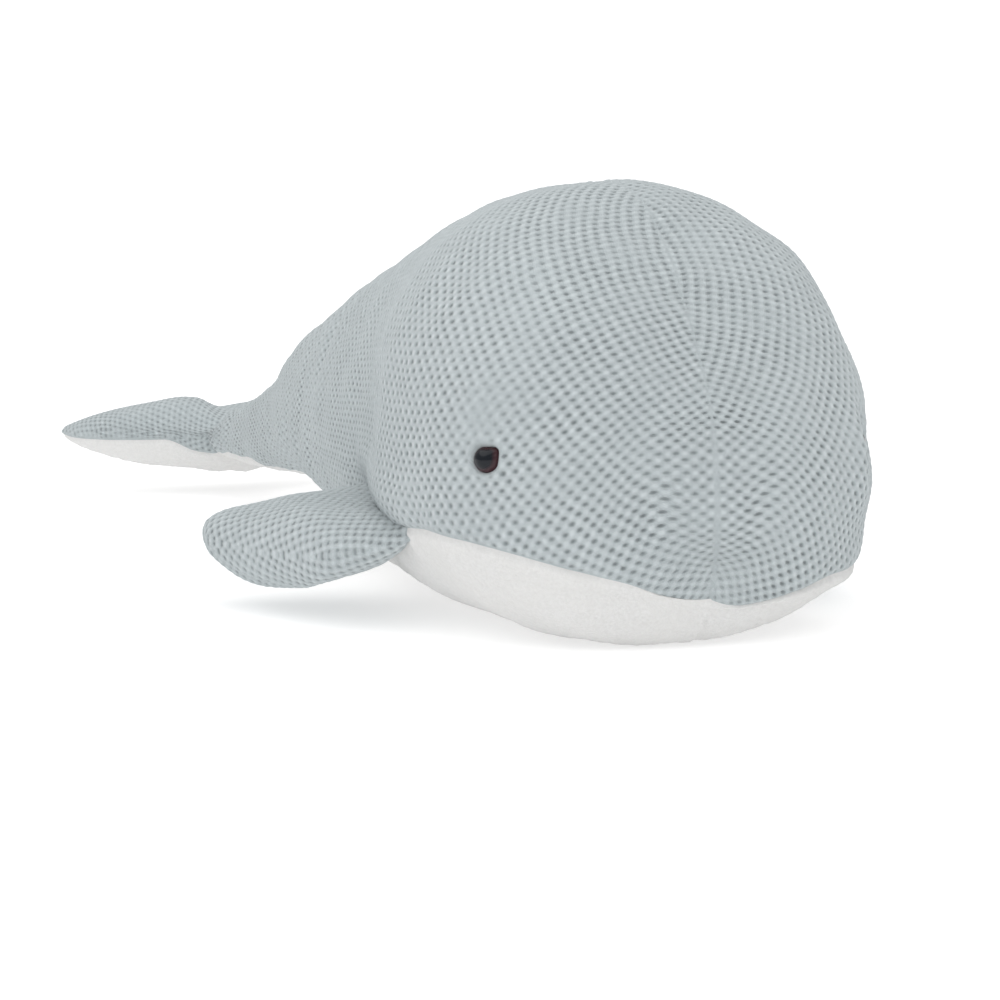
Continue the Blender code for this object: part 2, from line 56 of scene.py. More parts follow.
body = {
    "length": .468, "height": .152, "width": .167, "noseY": -.261835, "noseHeight": .054,
    "forehead": (.083, 1.7), "chin": (.0276, 2.55), "cheek": (.071, 2.4),  # reach and roundness
    "sectionPower": 2.4, "widestHeight": .0475, "bellyFlat": .0005,
    "stations": (0, .18, .34, .5, .68, .84, 1), "backStations": (0, .18, .34, .5, .68, .84, .925, 1),
    "bellyStations": (0, .18, .4, .5, .68, .84, 1),
    "backs": (1, 1, .917, .775, .591, .387, .306), "bellies": (0, 0, 0, .074, .149, .123),
    "halfWidths": (1, 1, .772, .636, .426, .242),
}
seam = {  # stations and heights of the belly seam: it sits a little higher on the right cheek
    right: ((0, .0091, .0094, .0097, .0102, .0112, .0142, .021, .0326, .058, .085, .11, .14, .2, .3, .4,
             .5, .6, .7, .8, .845, .865, .902, .95, 1),
            (.1178, .1178, .131, .1435, .153, .161, .1725, .189, .207, .231, .2435, .25, .246, .222, .182,
             .152, .128, .12, .14, .12, .118, .127, .141, .134, .129)),
    left: ((0, .0091, .01, .0107, .0115, .0129, .0137, .0154, .0184, .024, .0366, .06, .09, .14, .2,
            .3, .4, .5, .6, .7, .8, .845, .865, .902, .95, 1),
           (.1178, .1178, .1125, .108, .101, .096, .0985, .1064, .1178, .129, .14, .146, .155, .172, .185,
            .178, .152, .128, .12, .14, .12, .118, .127, .141, .134, .129)),
    "leftChin": ((0, .0092, .0104, .0115, .0129, .0137, .0154, .0184, 1),  # its reach from the midline
                 (0, 0, .003, .0065, .0125, .0182, .0272, .0352, .0352)),
}
tail = {"y": .206165, "z": .0293, "height": .0254, "width": .0304}
knit = {"pitch": 4.4, "row": 2.6, "pitLength": 2.0, "pitWidth": 1.5,  # mm of flat fabric
        "pitDepth": .00055, "turnFrom": 75, "turnUp": .36, "drawnIn": .75}


def smoothTable(stations, values, t):
    # Monotone cubic through a table: inner slopes are the harmonic means of their neighbours
    x, y = np.asarray(stations, float), np.asarray(values, float)
    t = np.clip(np.asarray(t, float), x[0], x[-1])
    step = np.diff(x)
    slope = np.diff(y) / step
    sameSign = slope[:-1] * slope[1:] > 0
    before, after = 2 * step[1:] + step[:-1], step[1:] + 2 * step[:-1]
    near, far = np.where(sameSign, (slope[:-1], slope[1:]), 1)
    mean = (before + after) / (before / near + after / far)
    tangent = np.concatenate(([slope[0]], np.where(sameSign, mean, 0), [slope[-1]]))
    cell = np.clip(np.searchsorted(x, t, side="right") - 1, 0, len(x) - 2)
    u = (t - x[cell]) / step[cell]
    return ((1 + 2 * u) * (1 - u) ** 2 * y[cell] + u * (1 - u) ** 2 * step[cell] * tangent[cell]
            + u * u * (3 - 2 * u) * y[cell + 1] + u * u * (u - 1) * step[cell] * tangent[cell + 1])


def stacked(*parts):
    return np.stack(np.broadcast_arrays(*parts), axis=-1)


def turnsRound(count):
    return np.linspace(0, 2 * np.pi, count, endpoint=False)[None, :]


def rounding(share, power):
    # Quarter of a superellipse: 0 at the tip, 1 once the share of the reach is full
    return np.maximum(1 - (1 - np.clip(share, 0, 1)) ** power, 0) ** (1 / power)


def signedPower(value, power):
    return np.sign(value) * np.abs(value) ** power


def fade(value, start, end):
    # Smooth step from 0 at start to 1 at end
    share = np.clip((value - start) / (end - start), 0, 1)
    return share * share * (3 - 2 * share)


def bell(value, centre, width):
    # exp(-((value - centre) / width)^2): 1 at the centre, almost 0 two widths away
    return np.exp(-((value - centre) / width) ** 2)


def spread(even, density, count):
    # Places that stand closer together where the density is higher: inverse of its running sum
    total = np.concatenate(([0], np.cumsum((density[1:] + density[:-1]) / 2)))
    return np.interp(np.linspace(0, total[-1], count), total, even)


def softNoise(points, size, seed, waves=12):
    # Sum of plane waves sin(k.p + phase) in chance directions, patches about as large as size
    chance = np.random.default_rng(seed)
    direction = chance.normal(size=(waves, 3))
    direction /= np.linalg.norm(direction, axis=1)[:, None]
    turns = 2 * np.pi / (size * chance.uniform(1.0, 2.4, waves))
    phase = chance.uniform(0, 2 * np.pi, waves)
    total = np.zeros(points.shape[:-1])
    for wave in range(waves):
        total += np.sin(points @ direction[wave] * turns[wave] + phase[wave])
    return total / math.sqrt(waves)


def ripple(along, pitch, sway, points, size, seed):
    # Waves a pitch apart that wander: sin(2 pi along / pitch + sway * soft noise)
    return np.sin(2 * np.pi * along / pitch + sway * softNoise(points, size, seed))


def wander(points, seed, size=.01):
    # How far the fabric strays from its pattern, in its two directions
    return stacked(softNoise(points, size, seed), softNoise(points, size, seed + 2))


def normalsOf(makePoint, along, turn, outward):
    # Cross product of two small steps of the surface's own function, agreeing with the outward hint
    small = 1e-4 * (along + 1e-3)
    forward = makePoint(along + small, turn) - makePoint(np.maximum(along - small, 0), turn)
    aside = makePoint(along, turn + 1e-3) - makePoint(along, turn - 1e-3)
    normal = np.cross(forward, aside)
    normal /= np.maximum(np.linalg.norm(normal, axis=2), 1e-15)[..., None]
    return normal * (1 if np.sum(normal * outward) > 0 else -1)


def arcAlong(grid, axis):
    # Length along the surface from the first row or column
    step = np.linalg.norm(np.diff(grid, axis=axis), axis=2)
    start = np.zeros_like(np.take(step, [0], axis=axis))
    return np.concatenate((start, np.cumsum(step, axis=axis)), axis=axis)


def flatPattern(net, start, rounds=1500, keep=.9):
    # Lays a curved net flat: every link is a spring as long as it is on the surface, as stiff as the strip of
    # cloth it stands for, and the net relaxes with some of its last move carried on
    flat = start.astype(float).copy()
    move, links, stiffness = np.zeros_like(flat), [], np.zeros(flat.shape[:2])
    down = np.linalg.norm(np.gradient(net, axis=0), axis=2)
    aside = np.linalg.norm(np.gradient(net, axis=1), axis=2)
    for stepDown, stepAside in ((1, 0), (0, 1), (1, 1), (1, -1)):
        rowsNear, rowsFar = slice(0, net.shape[0] - stepDown), slice(stepDown, None)
        columnsNear = slice(max(-stepAside, 0), net.shape[1] - max(stepAside, 0))
        columnsFar = slice(max(stepAside, 0), net.shape[1] - max(-stepAside, 0))
        near, far = (rowsNear, columnsNear), (rowsFar, columnsFar)
        ratio = (down / aside if stepAside else aside / down) if stepDown != abs(stepAside) else .3 + 0 * down
        stiff = np.clip(ratio[near], .05, 12)
        stiffness[near] += stiff
        stiffness[far] += stiff
        links.append((near, far, np.linalg.norm(net[far] - net[near], axis=2), stiff))
    for _ in range(rounds):
        push = np.zeros_like(flat)
        for near, far, rest, stiff in links:
            span = flat[far] - flat[near]
            length = np.maximum(np.linalg.norm(span, axis=2), 1e-9)
            pull = span * ((length - rest) / length * stiff)[..., None]
            push[near] += pull
            push[far] -= pull
        move = keep * move + .45 * push / stiffness[..., None]
        flat += move
    centred, target = flat - flat.mean((0, 1)), start - start.mean((0, 1))
    turn = math.atan2(np.sum(centred[..., 0] * target[..., 1] - centred[..., 1] * target[..., 0]),
                      np.sum(centred * target))
    spin = np.array(((math.cos(turn), math.sin(turn)), (-math.sin(turn), math.cos(turn))))
    return centred @ spin


def cubicShares(u):
    # Catmull-Rom shares of the four posts about a place u of the way between the middle two
    return (-.5 * u + u * u - .5 * u ** 3, 1 - 2.5 * u * u + 1.5 * u ** 3,
            .5 * u + 2 * u * u - 1.5 * u ** 3, -.5 * u * u + .5 * u ** 3)


def cubicWeights(count, places):
    # Catmull-Rom weights of each place on an even row of posts, carried on straight past the ends
    cell = np.clip(np.floor(places).astype(int), 0, count - 2)
    u = places - cell
    weights = np.zeros((len(places), count + 2))
    for offset, share in enumerate(cubicShares(u)):
        weights[np.arange(len(places)), cell + offset] += share
    weights[:, 1] += 2 * weights[:, 0]
    weights[:, 2] -= weights[:, 0]
    weights[:, -2] += 2 * weights[:, -1]
    weights[:, -3] -= weights[:, -1]
    return weights[:, 1:-1]


def refine(coarse, rowPlaces, columnPlaces):
    # Carries values from an even coarse net to shares 0 to 1 down it and, row by row, across it
    down = cubicWeights(coarse.shape[0], rowPlaces * (coarse.shape[0] - 1))
    rows = np.einsum("ri,ijk->rjk", down, coarse)
    wide = np.concatenate((2 * rows[:, :1] - rows[:, 1:2], rows, 2 * rows[:, -1:] - rows[:, -2:-1]), axis=1)
    shape = len(rowPlaces), np.shape(columnPlaces)[-1]
    places = np.broadcast_to(columnPlaces, shape) * (coarse.shape[1] - 1)
    cell = np.clip(np.floor(places).astype(int), 0, coarse.shape[1] - 2)
    u = (places - cell)[..., None]
    posts = [np.take_along_axis(wide, (cell + offset)[..., None], axis=1) for offset in range(4)]
    return sum(share * post for share, post in zip(cubicShares(u), posts))


def pits(fabric, pitOpennessAndPaintedLight):
    # Staggered rows of soft oval pits, 1 in their middles, less a bead of yarn where -cos(2 pi u) cos(pi v) peaks
    across, up = fabric[..., 0] / knit["pitch"], fabric[..., 1] / knit["row"]
    row = np.round(up)
    offset = across - .5 * np.mod(row, 2)
    aside = (offset - np.round(offset)) * knit["pitch"] / (knit["pitLength"] / 2)
    above = (up - row) * knit["row"] / (knit["pitWidth"] / 2)
    bead = np.cos(2 * np.pi * across) * np.cos(np.pi * up)
    return pitOpennessAndPaintedLight * (1 - fade(np.hypot(aside, above), .2, 1.4) - .3 * fade(-bead, 0, .9))


def newObject(name, data):
    made = bpy.data.objects.new(name, data)
    bpy.context.scene.collection.objects.link(made)
    return made


def buildMesh(name, points, quads, triangles, fabric, pitOpennessAndPaintedLight):
    # Puts whole arrays into a mesh, with the fabric's own lengths in mm as its UV map
    corners = points[quads]
    volume = np.einsum("ij,ij->", corners[:, 0], np.cross(corners[:, 1], corners[:, 2])
                       + np.cross(corners[:, 2], corners[:, 3]))
    if len(triangles):
        ends = points[triangles]
        volume += np.einsum("ij,ij->", ends[:, 0], np.cross(ends[:, 1], ends[:, 2]))
    if volume < 0:
        quads, triangles = quads[:, ::-1], triangles[:, ::-1]
    loops = np.concatenate((quads.ravel(), triangles.ravel())).astype(np.int32)
    starts = np.concatenate((np.arange(len(quads)) * 4, len(quads) * 4 + np.arange(len(triangles)) * 3))
    mesh = bpy.data.meshes.new(name)
    mesh.vertices.add(len(points))
    mesh.vertices.foreach_set("co", points.astype(np.float32).ravel())
    mesh.loops.add(len(loops))
    mesh.loops.foreach_set("vertex_index", loops)
    mesh.polygons.add(len(starts))
    mesh.polygons.foreach_set("loop_start", starts.astype(np.int32))
    mesh.polygons.foreach_set("use_smooth", np.ones(len(starts), bool))
    mesh.uv_layers.new(name="fabric").data.foreach_set("uv", fabric[loops].astype(np.float32).ravel())
    # pit openness per point: it sinks the knit's pits and sets how much painted shade and painted highlight the
    # knit shader lays on them
    mesh.attributes.new("pitOpennessAndPaintedLight", "FLOAT", "POINT").data.foreach_set("value", pitOpennessAndPaintedLight.astype(np.float32))
    mesh.update(calc_edges=True)
    mesh.validate()
    mesh.set_sharp_from_angle(angle=math.radians(55))
    return newObject(name, mesh)


def closedLoft(name, rings, fabric, pitOpennessAndPaintedLight):
    # Rings that each run round and meet themselves; both ends close on the middle of their ring
    rows, columns = rings.shape[:2]
    number = np.arange(rows * columns).reshape(rows, columns)
    beside = np.roll(number, -1, axis=1)
    quads = np.stack((number[:-1], beside[:-1], beside[1:], number[1:]), axis=-1).reshape(-1, 4)
    first, last = rows * columns, rows * columns + 1
    triangles = np.concatenate((
        np.stack((beside[0], number[0], np.full(columns, first)), axis=-1),
        np.stack((number[-1], beside[-1], np.full(columns, last)), axis=-1)))
    points = np.concatenate((rings.reshape(-1, 3), rings[0].mean(0)[None], rings[-1].mean(0)[None]))
    uv = np.concatenate((fabric.reshape(-1, 2), fabric[0].mean(0)[None], fabric[-1].mean(0)[None]))
    openedAndPaintedLight = np.concatenate((pitOpennessAndPaintedLight.ravel(), (0, 0)))
    return buildMesh(name, points, quads, triangles, uv, openedAndPaintedLight)


def halfShell(name, outer, inner, fabric, pitOpennessAndPaintedLight):
    # Outer and inner grid share both side columns and the last row, and a strip closes the first row
    rows, columns = outer.shape[:2]
    outside = np.arange(rows * columns).reshape(rows, columns)
    inside = outside + rows * columns
    inside[:, 0], inside[:, -1], inside[-1] = outside[:, 0], outside[:, -1], outside[-1]
    faces = [np.stack((sheet[:-1, :-1], sheet[:-1, 1:], sheet[1:, 1:], sheet[1:, :-1]), axis=-1).reshape(-1, 4)
             for sheet in (outside, inside)]
    strip = np.stack((outside[0, 1:], outside[0, :-1], inside[0, :-1], inside[0, 1:]), axis=-1)
    quads = np.concatenate((faces[0], faces[1][:, ::-1], strip))
    doubled = (quads == np.roll(quads, 1, axis=1)).any(1)
    triangles = [list(dict.fromkeys(face)) for face in quads[doubled].tolist()]
    triangles = [corners for corners in triangles if len(corners) == 3]
    points = np.concatenate((outer.reshape(-1, 3), inner.reshape(-1, 3)))
    used = np.zeros(len(points), bool)
    used[quads.ravel()] = True
    renumber = np.cumsum(used) - 1
    uv, openedAndPaintedLight = np.concatenate((fabric, fabric)).reshape(-1, 2), np.concatenate((pitOpennessAndPaintedLight, pitOpennessAndPaintedLight)).ravel()
    triangles = np.array(triangles, int).reshape(-1, 3)
    return buildMesh(name, points[used], renumber[quads[~doubled]], renumber[triangles], uv[used], openedAndPaintedLight[used])


class Shading:
    # A material with its shader, and a short call for each kind of node that feeds it
    def __init__(self, name, settings):
        self.material = bpy.data.materials.new(name)
        self.material.use_nodes = True
        self.nodes = self.material.node_tree.nodes
        self.shader = self.nodes["Principled BSDF"]
        for key, value in settings.items():
            self.shader.inputs[key].default_value = value
        self.place = self.nodes.new("ShaderNodeTexCoord").outputs["Object"]

    def feed(self, socket, value):
        if isinstance(value, bpy.types.NodeSocket):
            self.material.node_tree.links.new(value, socket)
        else:
            socket.default_value = value

    def paint(self, colour, key="Base Color"):
        self.feed(self.shader.inputs[key], colour)

    def make(self, kind, values, **settings):
        node = self.nodes.new("ShaderNode" + kind)
        for key, value in settings.items():
            setattr(node, key, value)
        for key, value in values.items():
            self.feed(node.inputs[key], value)
        return node

    def maths(self, operation, *values):
        return self.make("Math", dict(enumerate(values)), operation=operation).outputs[0]

    def times(self, first, second):
        return self.maths("MULTIPLY", first, second)

    def plus(self, first, second):
        return self.maths("ADD", first, second)

    def ranged(self, value, start, end, low=0, high=1.0):
        return self.make("MapRange", {"Value": value, "From Min": start, "From Max": end, "To Min": low,
                                      "To Max": high}, interpolation_type="SMOOTHSTEP").outputs["Result"]

    def mix(self, factor, first, second):
        node = self.make("Mix", {0: factor}, data_type="RGBA")
        colours = [socket for socket in node.inputs if socket.type == "RGBA"]
        for socket, colour in zip(colours, (first, second)):
            self.feed(socket, (*colour, 1.0) if isinstance(colour, tuple) else colour)
        return [socket for socket in node.outputs if socket.type == "RGBA"][0]

    def noise(self, scale, detail=2, roughness=.5):
        return self.make("TexNoise", {"Vector": self.place, "Scale": scale, "Detail": detail,
                                      "Roughness": roughness}).outputs["Fac"]

    def bump(self, height, distance):
        self.paint(self.make("Bump", {"Height": height, "Distance": distance}).outputs["Normal"], "Normal")

    def fabric(self):
        uv = self.make("UVMap", {}, uv_map="fabric").outputs["UV"]
        parts = self.make("SeparateXYZ", {0: uv})
        return parts.outputs["X"], parts.outputs["Y"]


def knitMaterial():
    # Openwork knit: soft pits darkened with painted shade between light yarn, whose raised beads get a painted
    # highlight, chevron strands on it, mottled fibre
    # the pit colour is painted shade in the pits, the bead colour a painted highlight on the yarn between them
    colours = {"yarn": (.505, .555, .57), "shade": (.4, .445, .46), "shadedPit": (.135, .155, .16),
               "bead": (.6, .65, .665), "broad": (.55, .605, .62)}
    strandWidth, strandLean = .86, 1.1  # mm, and how steeply the chevrons lean
    cloth = Shading("greyKnit", {
        "Roughness": .95, "Specular IOR Level": .15, "Sheen Weight": .25, "Sheen Roughness": .55})
    maths, times, plus, ranged, mix = cloth.maths, cloth.times, cloth.plus, cloth.ranged, cloth.mix
    # pit openness: scales the painted shade in the pits and the painted highlight on the beads
    openedAndPaintedLight = cloth.make("Attribute", {}, attribute_name="pitOpennessAndPaintedLight").outputs["Fac"]
    x, y = cloth.fabric()
    across, up = maths("DIVIDE", x, knit["pitch"]), maths("DIVIDE", y, knit["row"])
    row = maths("ROUND", up)
    offset = maths("MULTIPLY_ADD", maths("FLOORED_MODULO", row, 2.0), -.5, across)
    aside, above = maths("SUBTRACT", offset, maths("ROUND", offset)), maths("SUBTRACT", up, row)
    acrossPit = times(aside, knit["pitch"] / (knit["pitLength"] / 2))
    upPit = times(above, knit["row"] / (knit["pitWidth"] / 2))
    distance = maths("SQRT", plus(times(acrossPit, acrossPit), times(upPit, upPit)))
    # mask of the pits: it darkens them with painted shade and sinks them in the bump
    shadedPit = times(ranged(distance, 1.45, .1), openedAndPaintedLight)
    wave = times(maths("COSINE", times(across, 2 * math.pi)), maths("COSINE", times(up, math.pi)))
    # beads of yarn between the pits, lightened as a painted highlight on the raised loops
    bead = times(ranged(wave, -.05, -.95), openedAndPaintedLight)
    lean = times(maths("ABSOLUTE", aside), knit["pitch"] * strandLean)
    strand = maths("SINE", times(plus(times(above, knit["row"]), lean), 2 * math.pi / strandWidth))
    fibre, mottle, broad = cloth.noise(2600, 3, .6), cloth.noise(420), cloth.noise(22)
    tone = plus(times(strand, .1), plus(times(fibre, .45), times(mottle, .5)))
    yarn = mix(ranged(tone, .32, .7), colours["shade"], colours["yarn"])
    light = mix(ranged(broad, .35, .65, 0, .22), yarn, colours["broad"])
    # bead colour: painted highlight, stronger where the mottle is light
    beadHighlighted = mix(times(bead, maths("MULTIPLY_ADD", mottle, .9, .05)), light, colours["bead"])
    # pits mixed towards the dark colour: painted shade
    cloth.paint(mix(times(shadedPit, .58), beadHighlighted, colours["shadedPit"]))
    cloth.bump(plus(times(shadedPit, -.8), plus(times(strand, .1), times(fibre, .35))), .0005)
    return cloth.material


def plushMaterial():
    # Short white pile: fine tufts that catch the light on their edges, faint warm and cool patches
    cloth = Shading("whitePlush", {
        "Roughness": 1.0, "Specular IOR Level": .1, "Sheen Weight": .45, "Sheen Roughness": .4})
    tufts, pile, broad = cloth.noise(900, 3, .6), cloth.noise(3200), cloth.noise(28)
    tone = cloth.plus(cloth.times(tufts, .6), cloth.times(pile, .4))
    white = cloth.mix(cloth.ranged(tone, .3, .7), (.7, .697, .688), (.79, .79, .785))
    cloth.paint(cloth.mix(cloth.ranged(broad, .35, .65, 0, .4), white, (.745, .74, .725)))
    cloth.bump(tone, .0007)
    return cloth.material


def stuffingMaterial():
    # Loose polyester fibre: stretched, tangled strands
    fibre = Shading("looseStuffing", {"Roughness": .9, "Specular IOR Level": .2, "Sheen Weight": .3})
    strands = fibre.noise(350, 6, .75)
    fibre.paint(fibre.mix(fibre.ranged(strands, .3, .7), (.78, .78, .77), (.92, .92, .92)))
    fibre.bump(strands, .0012)
    return fibre.material


def eyeMaterial():
    # Moulded eye: near-black middle, a wine-brown ring by its own radius share that is a painted reflection, clear
    # gloss, fine clouds
    gloss = Shading("eyeGloss", {
        "Specular IOR Level": .24, "Coat Weight": .16, "Coat Roughness": .06})
    cloud = gloss.noise(500, 3, .6)
    radius = gloss.maths("MULTIPLY_ADD", cloud, .12, gloss.fabric()[0])
    # wine-brown ring towards the rim: painted reflection
    darkMiddleAndReflectionRing = gloss.mix(gloss.ranged(radius, .62, .86), (.004, .006, .01), (.045, .016, .02))
    gloss.paint(gloss.mix(gloss.ranged(radius, .95, 1.06), darkMiddleAndReflectionRing, (.012, .008, .01)))
    gloss.paint(gloss.ranged(cloud, .3, .7, .1, .2), "Roughness")
    return gloss.material


def washerMaterial():
    # Frosted white polypropylene with a faint moulding grain
    frost = Shading("washerFrost", {"Specular IOR Level": .4})
    grain = frost.noise(1500)
    frost.paint(frost.mix(grain, (.7, .7, .69), (.8, .8, .79)))
    frost.paint(frost.ranged(grain, .3, .7, .35, .5), "Roughness")
    frost.bump(grain, .0001)
    return frost.material


greyKnit, whitePlush, looseStuffing = knitMaterial(), plushMaterial(), stuffingMaterial()
eyeGloss, washerFrost = eyeMaterial(), washerMaterial()
print("materials made")


def dress(piece, material, bodyName, nodes):
    piece.data.materials.append(material)
    if nodes:
        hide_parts(*nodes)
    if bodyName:
        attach(piece, bodyName)


def bodySection(t):
    # Back and belly lines, half width and the height of the widest line at a share t of the length
    along = t * body["length"]
    top, bottom, side = (rounding(along / reach, power) for reach, power in (
        body["forehead"], body["chin"], body["cheek"]))
    halfTail = tail["height"] / 2
    backs = [share * body["height"] for share in body["backs"]] + [tail["z"] + halfTail]
    bellies = [share * body["height"] - body["bellyFlat"] for share in body["bellies"]] + [tail["z"] - halfTail]
    widths = [share * body["width"] / 2 for share in body["halfWidths"]] + [tail["width"] / 2]
    back = smoothTable(body["backStations"], backs, t)
    belly = smoothTable(body["bellyStations"], bellies, t)
    start = body["noseHeight"]
    high, low = start + (back - start) * top, start + (belly - start) * bottom
    middle = np.clip(body["widestHeight"], low + .35 * (high - low), low + .65 * (high - low))
    middle = middle + (tail["z"] - middle) * fade(t, .8, 1)
    return high, low, smoothTable(body["stations"], widths, t) * side, middle


def bodyPoint(t, angle):
    # Superellipse round the widest line: angle 0 at +X, a quarter turn up on the back, down on the belly
    high, low, half, middle = bodySection(t)
    power = 2 / body["sectionPower"]
    reach = np.where(np.sin(angle) > 0, high - middle, middle - low)
    x, z = half * signedPower(np.cos(angle), power), middle + reach * signedPower(np.sin(angle), power)
    return stacked(x, body["noseY"] + body["length"] * t, z)


def seamTurn(t, side):
    # Angle of the belly seam below the widest line, straight down where the knit still covers the chin
    high, low, half, middle = bodySection(t)
    height = np.maximum(smoothTable(*seam[side], t) * body["height"], low + .0016 * fade(t, .3, .5))
    share = np.where(height > middle, (height - middle) / np.maximum(high - middle, 1e-4),
                     (height - middle) / np.maximum(middle - low, 1e-4))
    turn = np.arcsin(np.clip(signedPower(np.clip(share, -1, 1), body["sectionPower"] / 2), -1, 1))
    if side == left:
        reach = np.clip(smoothTable(*seam["leftChin"], t) / np.maximum(half, 1e-4), 0, 1)
        under = -np.arccos(reach ** (body["sectionPower"] / 2))
        turn = under + (turn - under) * fade(t, .0156, .0188)
    return np.where(t < chinStation, -math.pi / 2, turn)


def turnOf(share):
    # Angle from an even share -1 to 1 of the half section, spaced evenly along a superellipse
    size = np.abs(share)
    return np.sign(share) * math.pi / 2 * size ** 1.2 / (size ** 1.2 + (1 - size) ** 1.2)


def shareOf(turn):
    size = (np.abs(turn) / (math.pi / 2)) ** (1 / 1.2)
    rest = np.maximum(1 - np.abs(turn) / (math.pi / 2), 0) ** (1 / 1.2)
    return np.sign(turn) * size / (size + rest)


samples = np.linspace(0, .18, 4001)
chinStation = samples[np.argmax(bodySection(samples)[1] < smoothTable(*seam[right], samples) * body["height"])]
fineStations = np.linspace(0, 1, 6001) ** 2.2
meridian = bodyPoint(fineStations, np.full(6001, .5))
meridianShare = np.concatenate(([0], np.cumsum(np.linalg.norm(np.diff(meridian, axis=0), axis=1))))
meridianShare /= meridianShare[-1]


def stationAt(share):
    # Station whose share of the nose-to-tail length, measured over the cheek, is the given one
    return np.interp(share, meridianShare, fineStations)


def bodyRows(count):
    # Shares of the nose-to-tail length, closer together where the seam runs under the face and at the eye
    even = np.linspace(0, 1, 16001)
    chinShare = np.interp(chinStation, fineStations, meridianShare)
    density = 1 + 7 * bell(even - chinShare, .008, .011) + bell(even, .128, .02) + 25 * bell(
        even - chinShare, .001, .0016)
    shares = spread(even, density, count)
    shares[0] = shares[1] * .2
    first = np.searchsorted(shares, chinShare)
    shares[first] = chinShare * 1.0005
    return shares, first


eye = {"station": .062, "height": .065, "radius": .0049, "corner": .0015, "dome": .0012, "base": -.0043,
       "dimple": .0026, "dimpleReach": .012, "rim": .0008, "sunk": .0026}
flipper = {
    "origin": (.082256, -.156284, .035283), "along": (.182073, -.983281, .002665), "out": (.9833, .1821, 0),
    "length": .049, "chord": .074, "thickness": .031, "root": .006, "sweep": .056, "sweepPower": 1.45,
    "droop": .0115, "sectionPower": 2.3, "edgePower": 2.5, "stations": (0, .2, .45, .7, 1),
    "widths": (.96, 1.05, 1, .86, .7), "heights": (.72, 1, 1, .9), "droops": (0, .55, .95, 1.05, .92),
    "hindRoot": .7, "hindLift": .0075,
}


def flipperAxes(side):
    # Root, chord and outward directions of a flipper; they are written for the left one
    return [np.array(flipper[key]) * (side, 1, 1) for key in ("origin", "along", "out")]


def eyeFrame(side):
    # The eye's place on the cheek, with its outward, nosewards and upward directions
    t = np.array([eye["station"]])
    high, low, half, middle = bodySection(t)
    turn = np.arcsin(((eye["height"] - middle) / (high - middle)) ** (body["sectionPower"] / 2))
    near = 1e-4
    centre = bodyPoint(t, turn)[0]
    along = bodyPoint(t + near, turn)[0] - bodyPoint(t - near, turn)[0]
    aside = bodyPoint(t, turn + near)[0] - bodyPoint(t, turn - near)[0]
    out = np.cross(along, aside)
    out *= np.sign(out[0]) / np.linalg.norm(out)
    up = np.array((0, 0, 1)) - out[2] * out
    up /= np.linalg.norm(up)
    nosewards = np.cross(up, out)
    nosewards *= -np.sign(nosewards[1])
    flip = np.array((side, 1, 1))
    return centre * flip, out * flip, nosewards * flip, up * flip


dip = {"depth": .008, "behindSeam": .003, "reach": .018, "heights": (.0235, .0405)}
folds = {"pitch": .0162, "depth": .0005, "finePitch": .0087, "fineDepth": .0002, "from": .36, "full": .6}


def waist(points):
    # The stock's back drops at the tail seam, alike on the body and on the fluke
    drop = dip["depth"] * bell(points[..., 1] - tail["y"], dip["behindSeam"], dip["reach"])
    return drop * fade(points[..., 2], *dip["heights"])


def foldWave(points):
    # Upright folds that wander along the stock
    return ripple(points[..., 1], folds["pitch"], 2.4, points, .055, 7)


def bodyRelief(points, t, side):
    # Soft lumps and upright folds, gathered towards the tail's stock and gone at its seam, a groove along that
    # seam, the crease over a flipper's root, and the left jaw a little slacker than the right
    y, z = points[..., 1], points[..., 2]
    fromTail = tail["y"] - y
    relief = .0011 * softNoise(points, .042, 3) * fade(t, 0, .05) + .0004 * softNoise(points, .016, 5)
    patches = .25 + .75 * fade(softNoise(points, .045, 15), -.7, .9)
    finer = folds["fineDepth"] * ripple(y, folds["finePitch"], 2.2, points, .03, 9)
    relief += fade(t, folds["from"], folds["full"]) * patches * (folds["depth"] * foldWave(points) + finer)
    relief *= fade(fromTail, .0005, .008)
    relief -= .0004 * bell(fromTail, 0, .0022)
    origin, chord, out = flipperAxes(side)
    along = (points - origin) @ chord
    beside = z - origin[2] + .1 * along
    inReach = fade(along, -.072, -.055) * (1 - fade(along, .03, .043))
    relief += inReach * (.002 * bell(beside, .013, .007) - .0012 * bell(beside, .002, .0035))
    if side == left:
        slack = bell(t, .055, .055) * fade(t, .008, .03)
        relief -= slack * (.0032 * bell(z, .036, .011) + .0018 * bell(z, .008, .008))
    return relief


def sidePattern(rows=84, columns=40):
    # Flat pattern of half the body: round the nose the net starts as a fan, behind it as a strip; then the
    # knit's rows are turned up towards the face seam
    shares, turns = np.linspace(0, 1, rows)[:, None], np.linspace(-1, 1, columns)[None, :]
    shares[0] = .003
    net = bodyPoint(stationAt(shares), turnOf(turns))
    reach, girth = arcAlong(net, 0), arcAlong(net, 1)
    girth = girth - girth[:, columns // 2 - 1:columns // 2 + 1].mean(1, keepdims=True)
    reach = reach.mean(1, keepdims=True)
    front = 1 - fade(reach, .05, .17)
    angle = turnOf(turns)
    start = np.stack((reach * (1 - (1 - np.cos(angle)) * front),
                      reach * np.sin(angle) * front + girth * (1 - front)), axis=-1)
    flat = flatPattern(net, start) / millimetre
    flat -= (flat[1, 0] + flat[1, -1]) / 2
    flat[0] = 0
    ahead = knit["turnFrom"] - flat[..., 0]
    flat[..., 1] -= knit["turnUp"] * 20 * np.logaddexp(0, ahead / 20)
    flat[..., 1] *= 1 + knit["drawnIn"] * fade(shares, .34, .8)
    return flat


nose = {"ring": (17, 34), "eased": (11, 30), "behind": .012}  # mm from the pole, and metres behind it


